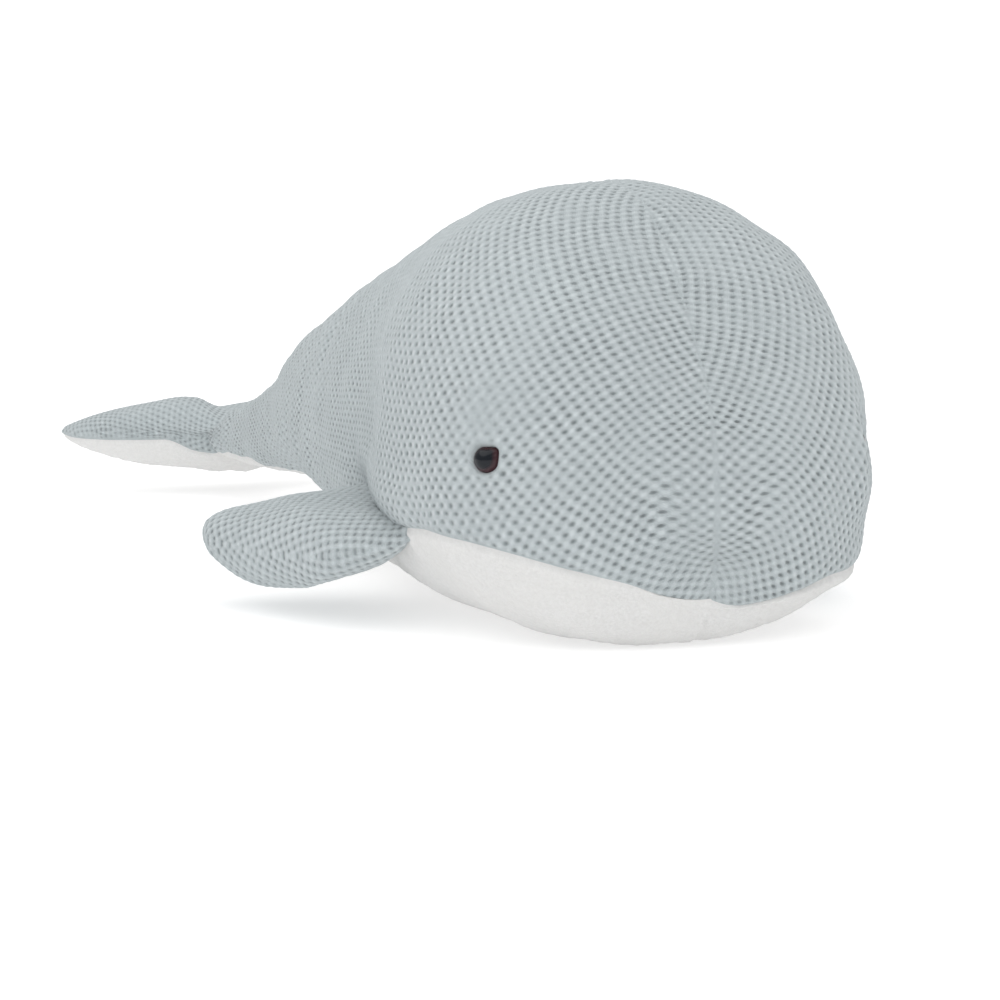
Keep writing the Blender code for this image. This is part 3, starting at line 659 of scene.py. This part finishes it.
def easedNose(points, fabric):
    # Round the nose's pole the fabric is the straight view from the front, fitted to the pattern about it:
    # fabric = (x, z, 1) @ fit by least squares over a ring, its stretch eased by a square root
    front = np.stack((points[..., 0], points[..., 2] - body["noseHeight"]), axis=-1) / millimetre
    distance = np.hypot(front[..., 0], front[..., 1]) + 1e3 * (points[..., 1] > body["noseY"] + nose["behind"])
    ring = (distance > nose["ring"][0]) & (distance < nose["ring"][1])
    known = np.concatenate((front, np.ones_like(front[..., :1])), axis=-1)
    fit = np.linalg.lstsq(known[ring], fabric[ring], rcond=None)[0]
    turnOne, stretch, turnTwo = np.linalg.svd(fit[:2])
    centre = known[ring].mean(0)[:2]
    view = (front - centre) @ (turnOne * np.sqrt(stretch)) @ turnTwo + fabric[ring].mean(0)
    return fabric + (view - fabric) * (1 - fade(distance, *nose["eased"]))[..., None]


bodyShares, chinRow = bodyRows(720)


wallColumns = 6


def walled(points):
    # Each row runs on by a straight inner wall, back to where it started
    shares = np.linspace(0, 1, wallColumns + 2)[1:-1][None, :, None]
    return np.concatenate((points, points[:, -1:] * (1 - shares) + points[:, :1] * shares), axis=1)


def seamGroove(t, fromSeam, width):
    # Groove along the belly seam, shallow where it runs under the chin
    return (.0002 + .0008 * fade(t, .012, .02)) * bell(fromSeam, 0, width)


def eyeOutline(turn):
    # A circle drawn out to a soft corner up and nosewards, under the lid's edge
    corner = eye["corner"] * bell(turn, math.radians(43), math.radians(20))
    return eye["radius"] * (1 + .1 * np.cos(turn) ** 2) + corner


def sidePanel(name, side, node, pattern, rowShares, columns=270):
    # Grid from belly seam to midline over every station, its columns bent aside only near the seam; relief
    # and pits stand along the normals
    rows, even = len(rowShares), np.linspace(0, 1, 2001)
    place = spread(even, 1 + bell(even, .44, .055), columns)[None, :]
    t = stationAt(rowShares)[:, None]
    lift = np.maximum(1 + shareOf(seamTurn(t, side)), 1e-3)
    share = -1 + 2 * place + lift * (1 - place) ** (1.6 / lift) * (t >= chinStation)
    points = bodyPoint(t, turnOf(share))
    fabric = easedNose(points, refine(pattern, rowShares, (share + 1) / 2))
    normal = normalsOf(bodyPoint, t, turnOf(share), points * (1, 0, 0))
    points, normal = points * (side, 1, 1), normal * (side, 1, 1)
    y, z = points[..., 1], points[..., 2]
    fromSeam = arcAlong(points, 1)
    fromMidline = fromSeam[:, -1:] - fromSeam
    toEdge = np.where(t < chinStation, 1, fade(tail["y"] - y, 0, .02))
    relief = bodyRelief(points, t, side)
    grooves = .0002 * bell(fromMidline, 0, .0016) + seamGroove(t, fromSeam, .0017) * toEdge
    relief -= grooves * fade(t, 0, .0004)
    gather = sum(np.exp(-away / .006) * fade(away, 0, .003) for away in (fromMidline, fromSeam))
    relief += .0003 * ripple(y - z, .0082, 1.8, points, .02, 11) * fade(t, .02, .05) * gather

    centre, out, nosewards, up = eyeFrame(side)
    nearEye = np.abs((points - centre) @ out) < .03
    ahead, above = (points - centre) @ nosewards, (points - centre) @ up
    radius, turn = np.hypot(ahead, above), np.arctan2(above, ahead)
    outline = eyeOutline(turn)
    dimple = (eye["dimple"] + .7 * eye["sunk"] * (side == left)) * bell(radius, 0, eye["dimpleReach"])
    puckers = .0003 * np.cos(7 * turn + .8) * bell(radius, .009, .004)
    fullCheek = (side == left) * .0026 * bell(ahead, .012, .006) * bell(above, 0, .011)
    rim = eye["rim"] * bell(radius - outline, .0012, .0011)
    lid = .001 * bell(above, .0066, .0019) * (1 - fade(np.abs(ahead + .0005), .004, .01))
    seat = .0011 * (1 - fade(radius, outline - .0012, outline + .0003))
    relief += nearEye * (puckers + fullCheek + rim + lid - dimple - seat)
    smoothPatch = bell(ahead, -.003, .0075) * bell(above, .014, .011)
    pitOpennessAndPaintedLight = 1 - .72 * smoothPatch * nearEye
    pitOpennessAndPaintedLight *= fade(radius, outline + .0003, outline + .002) * nearEye + ~nearEye
    pitOpennessAndPaintedLight *= fade(fromMidline, .0001, .001) * fade(fromSeam, .0002, .0014)
    # pits open more in the folds' valleys and close on their ridges: deeper pits there, and painted shade
    # darkening the valleys
    pitOpennessAndPaintedLight *= 1 - fade(t, .36, .56) * (.2 + .35 * foldWave(points))
    pitOpennessAndPaintedLight = np.clip(pitOpennessAndPaintedLight * (1 + .16 * softNoise(points, .012, 13)), 0, 1.25)
    fabric = fabric + .22 * wander(points, 17)
    shallow = .5 * fade(t, .34, .6) + .8 * (1 - fade(t, .014, .022)) * (1 - fade(fromSeam, .004, .014))
    relief -= knit["pitDepth"] * (1 - shallow) * pits(fabric, pitOpennessAndPaintedLight)
    points[..., 2] -= waist(points)
    points = points + normal * relief[..., None]
    points[..., 0] = side * np.maximum(points[..., 0] * side, 0)
    rings = walled(points)
    blank = np.zeros((rows, wallColumns))
    piece = closedLoft(name, rings, np.concatenate((fabric, np.zeros((rows, wallColumns, 2))), axis=1),
                       np.concatenate((pitOpennessAndPaintedLight, blank), axis=1))
    dress(piece, greyKnit, "body", (node,))


knitPattern = sidePattern()
for side, word, label in sides:
    sidePanel("sidePanel" + label, side, "side_panel_" + word, knitPattern, bodyShares)
print("knit sides worked out")


def bellyPanel(rowShares, columns=200):
    # Grid from seam to seam under the body, pressed flat where it would pass below the floor
    rows = len(rowShares)
    t = stationAt(rowShares)[:, None]
    across = np.linspace(-1, 1, columns)[None, :]
    low = np.where(across < 0, shareOf(seamTurn(t, right)), shareOf(seamTurn(t, left)))
    turn = turnOf(-1 + (1 + low) * np.abs(across))
    points, normal = bodyPoint(t, turn), normalsOf(bodyPoint, t, turn, np.array((0, 0, -1.0)))
    points[..., 0] *= np.sign(across)
    normal[..., 0] *= np.sign(across)
    x, y = points[..., 0], points[..., 1]
    run = arcAlong(points, 1)
    fromSeam = np.minimum(run, run[:, -1:] - run)
    relief = np.where(x < 0, bodyRelief(points, t, right), bodyRelief(points, t, left))
    toEdge = fade(tail["y"] - y, 0, .02)
    relief -= seamGroove(t, fromSeam, .0014) * toEdge
    toEdge = toEdge * fade(run[:, -1:], .01, .06)
    relief += .0009 * (bell(fromSeam, .0035, .0026) - bell(0, .0035, .0026)) * toEdge
    gather = np.exp(-fromSeam / .007) * fade(fromSeam, 0, .003) * fade(t, .02, .05)
    relief += .0003 * toEdge * gather * ripple(y, .0075, 1.8, points, .02, 23)
    relief += .00016 * softNoise(points, .0022, 29) * fade(fromSeam, 0, .002)
    points = points + normal * relief[..., None]
    points[..., 2] = np.maximum(points[..., 2], 0)
    rings = walled(points)
    fabric = np.concatenate((np.stack((run, arcAlong(points, 0)), axis=-1) / millimetre,
                             np.zeros((rows, wallColumns, 2))), axis=1)
    piece = closedLoft("bellyPanel", rings, fabric, np.zeros(rings.shape[:2]))
    dress(piece, whitePlush, "body", ("belly_panel",))


bellyPanel(bodyShares[chinRow:])
print("plush belly worked out")


def bodyStuffing(rows=70, columns=48):
    # Rounded three-sided core between both sides and the belly, lumpy as teased-out fibre
    t = np.linspace(.03, .965, rows)[:, None]
    high, low, half, middle = bodySection(t)
    low, high = low + .3 * (middle - low), high + 0 * t
    edge = .93 * half
    corners = np.stack([np.concatenate(np.broadcast_arrays(x, body["noseY"] + body["length"] * t, z), axis=1)
                        for x, z in ((edge, low), (0 * high, high), (-edge, low))], axis=1)
    middlePoint = corners.mean(1, keepdims=True)
    corners = middlePoint + (corners - middlePoint) * .8
    place = np.linspace(0, 3, columns, endpoint=False)
    cell, share = np.floor(place).astype(int), (place % 1)[None, :, None]
    rings = corners[:, cell] * (1 - share) + corners[:, (cell + 1) % 3] * share
    for _ in range(6):
        rings = (np.roll(rings, 1, axis=1) + 2 * rings + np.roll(rings, -1, axis=1)) / 4
    rings = rings + (rings - middlePoint) * .035 * softNoise(rings, .02, 31)[..., None]
    piece = closedLoft("bodyStuffing", rings, rings[..., 1:] / millimetre, np.zeros((rows, columns)))
    dress(piece, looseStuffing, "body", ("body_filling",))


bodyStuffing()


def eyeDome(name, side, node, rings=26, spokes=72):
    # Dome over the teardrop outline: height falls as a superellipse from the middle, then a foot goes in
    centre, out, nosewards, up = eyeFrame(side)
    turn = turnsRound(spokes)
    share = np.linspace(.03, 1, rings)[:, None] ** .8
    radius = np.concatenate((share * eyeOutline(turn), .96 * eyeOutline(turn), .5 * eyeOutline(turn)))
    height = np.concatenate((
        eye["base"] + (eye["dome"] - eye["base"]) * (1 - share ** 2.3) ** (1 / 1.9) + 0 * turn,
        np.full((1, spokes), eye["base"] - .0006), np.full((1, spokes), eye["base"] - .0009)))
    height -= eye["sunk"] * (side == left)
    x, z = radius * np.cos(turn), radius * np.sin(turn)
    points = centre + x[..., None] * nosewards + z[..., None] * up + height[..., None] * out
    ratio = np.concatenate((share + 0 * turn, np.ones((2, spokes))))
    fabric = stacked(ratio, turn)
    piece = closedLoft(name, points, fabric, np.zeros(ratio.shape))
    dress(piece, eyeGloss, "body", (node,))


for side, word, label in sides:
    eyeDome("eye" + label, side, "eye_" + word)
    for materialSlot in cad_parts["eye_washer_" + word].material_slots:
        materialSlot.material = washerFrost
print("eyes set")


# Fluke and flippers are lofted blades, each of two halves
fluke = {
    "length": .041, "span": .128, "thickness": .036, "sweep": .018, "sweepPower": 1.6, "droop": .004,
    "sectionPower": 2.1, "edgePower": 2.4, "stations": (0, .22, .48, .72, .88, 1),
    "widths": (.5, .86, .99, 1, .88), "heights": (.93, 1, 1, .96, .9),
}


def blade(form, r, angle, roundTip):
    # Superellipse sections along the blade; their height, and width on a round tip, close at the end
    closing = np.maximum(1 - r ** form["edgePower"], 0) ** (1 / form["edgePower"])
    width = smoothTable(form["stations"], form["halfWidths"], r) * (closing if roundTip else 1)
    height = smoothTable(form["heightStations"], form["halfHeights"], r) * closing
    power = 2 / form["sectionPower"]
    return width * signedPower(np.cos(angle), power), form["length"] * r + 0 * angle, height * signedPower(
        np.sin(angle), power)


fluke["halfWidths"] = [tail["width"] / 2] + [share * fluke["span"] / 2 for share in fluke["widths"]]
fluke["halfHeights"] = [tail["height"] / 2] + [share * fluke["thickness"] / 2 for share in fluke["heights"]]
fluke["heightStations"] = fluke["stations"]
flipper["halfWidths"] = [share * flipper["chord"] / 2 for share in flipper["widths"]]
flipper["halfHeights"] = [flipper["root"] / 2] + [share * flipper["thickness"] / 2 for share in flipper["heights"]]
flipper["heightStations"] = flipper["stations"]


def flukePoint(r, angle):
    # Blade swept back towards its tips, its middle line sinking a little
    x, y, z = blade(fluke, r, angle, False)
    y = y + fluke["sweep"] * r * (np.abs(x) * 2 / fluke["span"]) ** fluke["sweepPower"]
    z = z - fluke["droop"] * np.sqrt(np.maximum(r, 0))
    return stacked(x, tail["y"] + y, tail["z"] + z)


def flipperPoint(r, angle, side):
    # Blade swept back along its chord and sinking from the root to the tip; its root spreads back and lies
    # against the body's skin, half (1 - share^n)^(1/n) from the midline
    x, y, z = blade(flipper, r, angle, True)
    hindShare = np.clip(-x / (flipper["chord"] / 2), 0, 1) * (1 - r) ** 2
    x = x * (1 + flipper["hindRoot"] * (x < 0) * (1 - r) ** 2)
    z = z * (1 - .7 * np.clip(x / (flipper["chord"] / 2), 0, 1) ** 2 * (1 - r) ** 4)
    z = z + flipper["hindLift"] * hindShare
    x = x - flipper["sweep"] * (1 - (1 - r) ** flipper["sweepPower"])
    z = z - flipper["droop"] * smoothTable(flipper["stations"], flipper["droops"], r)
    origin, along, out = flipperAxes(left)
    up = np.cross(along, out)
    up *= np.sign(up[2])
    points = origin + x[..., None] * along + y[..., None] * out + z[..., None] * up
    t = (points[..., 1] - body["noseY"]) / body["length"]
    high, low, half, middle = bodySection(t)
    share = np.abs(points[..., 2] - middle) / np.where(points[..., 2] > middle, high - middle, middle - low)
    skin = half * (1 - np.clip(share, 0, .99) ** body["sectionPower"]) ** (1 / body["sectionPower"])
    points[..., 0] += np.minimum(skin - .0025 - points[..., 0], 0) * (1 - fade(r, 0, .4)) ** 1.5
    return points * (side, 1, 1)


def bladeHalf(makePoint, upper, under, seed, rows, columns, groove, netRows=24, netColumns=40):
    # One sewn half of a blade, from rim to rim; the upper half wraps down to the under angle of each section
    def sheet(rowShares, columnShares):
        r = (1 - (1 - rowShares) ** 1.7)[:, None]
        turn = -turnOf(np.clip(2 * columnShares - 1, -1, 1))[None, :]
        turn = math.pi / 2 + turn * (1 + (1 if upper else -1) * under(r) / (math.pi / 2))
        return r, turn if upper else -turn

    rowShares, columnShares = np.linspace(0, 1, rows), np.linspace(0, 1, columns)
    r, turn = sheet(rowShares, columnShares)
    points = makePoint(r, turn)
    net = makePoint(*sheet(np.linspace(0, 1, netRows), np.linspace(0, 1, netColumns)))
    fabric = refine(flatPattern(net, net[..., :2], 900) / millimetre, rowShares, columnShares)
    normal = normalsOf(makePoint, np.clip(r, 1e-4, .999), turn, np.array((0, 0, 1.0 if upper else -1.0)))
    run = arcAlong(points, 1)
    fromRim = np.minimum(run, run[:, -1:] - run)
    down = arcAlong(points, 0)
    fromTip = down[-1:] - down
    fromEdge = np.minimum(fromRim, fromTip)
    relief = .0006 * softNoise(points, .022, seed) * fade(fromEdge, 0, .008)
    relief -= groove * bell(fromEdge, 0, .0013)
    gather = .4 * groove * np.exp(-fromEdge / .005) * fade(fromEdge, 0, .003)
    relief += gather * ripple(points[..., 0], .0078, 1.7, points, .015, seed + 1)
    return r, points, normal, fabric, relief, fromEdge, down


def finishBlade(name, points, normal, relief, fabric, pitOpennessAndPaintedLight, tuck):
    # Inner wall: the same grid drawn in towards the flat sheet between its rims; the root is tucked in
    outer = points + normal * relief[..., None]
    depths = np.array((1.0, .7, .35))[:, None, None]
    outer = np.concatenate((outer[:1] + depths * np.asarray(tuck), outer))
    fabric, pitOpennessAndPaintedLight = (np.concatenate((values[[0, 0, 0]], values)) for values in (fabric, pitOpennessAndPaintedLight))
    width = arcAlong(outer, 1)
    share = (width / np.maximum(width[:, -1:], 1e-9))[..., None]
    chord = outer[:, :1] * (1 - share) + outer[:, -1:] * share
    inner = chord + (outer - chord) * .35
    return halfShell(name, outer, inner, fabric, pitOpennessAndPaintedLight)


def flukeHalf(name, upper, node, material):
    # Pleats fan out from the root; the back has a hump on the right, and a dip across the rest
    r, points, normal, fabric, relief, fromEdge, down = bladeHalf(
        flukePoint, upper, lambda r: .14 + .72 * (1 - fade(r, 0, .22)), 41, 130, 280, .0007)
    x, z = points[..., 0], points[..., 2]
    pleats = np.sin(9 * np.arctan2(z - tail["z"], x) + softNoise(points, .02, 47))
    relief += .0005 * (1 - fade(down, .008, .032)) * pleats
    relief *= fade(down, 0, .007)
    relief -= .0004 * bell(down, 0, .0022)
    pitOpennessAndPaintedLight = np.zeros(relief.shape)
    if upper:
        pitOpennessAndPaintedLight = np.clip(.78 + .15 * softNoise(points, .012, 49), 0, 1.1) * fade(fromEdge, .0002, .002)
        fabric = fabric * (1.5, 1.25) + .2 * wander(points, 51)
        relief -= .6 * knit["pitDepth"] * pits(fabric, pitOpennessAndPaintedLight)
    else:
        relief += .00016 * softNoise(points, .0022, 55) * fade(fromEdge, 0, .002)
    hump = .0024 * bell(x, -.019, .012) - .0044 * fade(x, -.013, .004)
    hump *= fade(down, 0, .007) * bell(down, .022, .014) * fade(z, .0265, .04)
    points[..., 2] += hump * fade(fromEdge, .001, .012) - waist(points)
    piece = finishBlade(name, points, normal, relief, fabric, pitOpennessAndPaintedLight, (0, -.0012, 0))
    dress(piece, material, None, (node,))
    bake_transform(piece)


flukeHalf("flukeTopPanel", True, "fluke_top_panel", greyKnit)
flukeHalf("flukeUndersidePanel", False, "fluke_underside_panel", whitePlush)


def flipperHalf(name, side, upper, node):
    # Folds stand along the root, which is tucked inwards, and the cloth bends from there outwards
    r, points, normal, fabric, relief, fromEdge, down = bladeHalf(
        partial(flipperPoint, side=side), upper, lambda r: 1.0, 61, 120, 190, .0003)
    origin, chord, out = flipperAxes(side)
    nearRoot = 1 - fade(down, .003, .016)
    relief += .0004 * nearRoot * ripple((points - origin) @ chord, .0105, 1.5, points, .02, 63)
    pitOpennessAndPaintedLight = np.clip(.95 + .15 * softNoise(points, .012, 65), 0, 1.1) * fade(fromEdge, .0002, .002)
    fabric = fabric + .2 * wander(points, 67)
    relief -= knit["pitDepth"] * pits(fabric, pitOpennessAndPaintedLight)
    piece = finishBlade(name, points, normal, relief, fabric, pitOpennessAndPaintedLight, -.0045 * out)
    dress(piece, greyKnit, None, (node,))
    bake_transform(piece)


for side, word, label in sides:
    for upper, half in ((True, "Top"), (False, "Underside")):
        flipperHalf("flipper" + label + half + "Panel", side, upper,
                    "flipper_" + word + "_" + half.lower() + "_panel")
print("fluke and flippers worked out")


def bladeStuffing(name, makePoint, centreLine, node, slotBody, sink=0, rows=30, columns=48):
    # Core between a blade's two halves: the same sections at a fifth of their height, sunk to the seam
    r = np.linspace(.22, .8, rows)[:, None]
    points = makePoint(r, turnsRound(columns))
    centre = points.mean(1, keepdims=True)
    points = centre + (points - centre) * (.72, .72, 1)
    middle, deep = centreLine(r), points[..., 2].min(1, keepdims=True)
    points[..., 2] = middle + (deep - middle) * sink + (points[..., 2] - middle) * .21 * (
        1 + .12 * softNoise(points, .012, 71))
    piece = closedLoft(name, points, points[..., :2] / millimetre, np.zeros((rows, columns)))
    dress(piece, looseStuffing, slotBody, (node,))


def flipperMiddle(r):
    return flipper["origin"][2] - flipper["droop"] * smoothTable(flipper["stations"], flipper["droops"], r)


def flukeMiddle(r):
    return tail["z"] - .003 - fluke["droop"] * np.sqrt(r)


bladeStuffing("flukeStuffing", flukePoint, flukeMiddle, "fluke_filling", "fluke")
for side, word, label in sides:
    bladeStuffing("flipper" + label + "Stuffing", partial(flipperPoint, side=side), flipperMiddle,
                  "flipper_" + word + "_filling", "flipper_" + word, .5)
print("stuffing packed in")


studio = {"floorRadius": 60.0, "floorColour": (.7, .7, .7), "floorGlow": .46, "airGlow": .48, "sun": 2.1}


def studioFloor(rows=24, spokes=64):
    # Round pale floor out past the horizon of every view: rings whose radius grows by an even ratio
    turn = turnsRound(spokes)
    radius = np.geomspace(.05, studio["floorRadius"], rows)[:, None]
    points = stacked(radius * np.cos(turn), radius * np.sin(turn), 0 * radius)
    number = np.arange(rows * spokes).reshape(rows, spokes)
    beside = np.roll(number, -1, axis=1)
    quads = np.stack((number[:-1], number[1:], beside[1:], beside[:-1]), axis=-1).reshape(-1, 4)
    fan = np.stack((number[0], beside[0], np.full(spokes, rows * spokes)), axis=-1)
    mesh = bpy.data.meshes.new("studioFloor")
    mesh.from_pydata(points.reshape(-1, 3).tolist() + [(0, 0, 0)], [], quads.tolist() + fan.tolist())
    mesh.update()
    paper = Shading("palePaper", {"Roughness": .9, "Specular IOR Level": .1, "Emission Color": (1, 1, 1, 1),
                                  "Emission Strength": studio["floorGlow"]})
    pale = studio["floorColour"]
    paper.paint(paper.mix(paper.noise(60), pale, tuple(channel * .985 for channel in pale)))
    mesh.materials.append(paper.material)
    newObject("studioFloor", mesh)


studioFloor()


def aimed(name, light, direction):
    lamp = newObject(name, light)
    lamp.rotation_euler = Vector(direction).to_track_quat("-Z", "Y").to_euler()
    return lamp


def softBox(name, place, target, size, power, colour=(1, 1, 1)):
    light = bpy.data.lights.new(name, "AREA")
    light.shape, light.size, light.size_y = "RECTANGLE", size, size
    light.energy, light.color = power, colour
    aimed(name, light, Vector(target) - Vector(place)).location = place


sun = bpy.data.lights.new("highSoftLight", "SUN")
sun.energy, sun.angle = studio["sun"], math.radians(110)
aimed("highSoftLight", sun, (.22, .22, -1.0))
softBox("frontSoftBox", (-.1, -2.2, 1.3), (0, -.1, .07), .7, .7)
softBox("sideSoftBox", (-2.2, -.5, .9), (0, 0, .06), .9, .4, (.96, .98, 1.0))
world = bpy.data.worlds.new("studioAir")
bpy.context.scene.world = world
bpy.context.scene.view_settings.view_transform = "Standard"
world.use_nodes = True
air = world.node_tree.nodes["Background"].inputs
air["Color"].default_value, air["Strength"].default_value = (1, 1, 1, 1), studio["airGlow"]

camera = {"place": (-.62767, -1.55679, .22786), "lens": 157.86, "azimuth": -23, "elevation": 7}
azimuth, elevation = math.radians(camera["azimuth"]), math.radians(camera["elevation"])
across = Vector((math.cos(azimuth), math.sin(azimuth), 0))
level = Vector((math.sin(azimuth), -math.cos(azimuth), 0))
back = level * math.cos(elevation) + Vector((0, 0, math.sin(elevation)))
upward = back.cross(across)
lensData = bpy.data.cameras.new("camera")
lensData.lens, lensData.sensor_width = camera["lens"], 36
lensData.clip_start, lensData.clip_end = .01, 50
viewer = newObject("camera", lensData)
turned = Matrix((across, upward, back)).transposed().to_4x4()
turned.translation = Vector(camera["place"])
viewer.matrix_world = turned
bpy.context.scene.camera = viewer
print("studio lit")
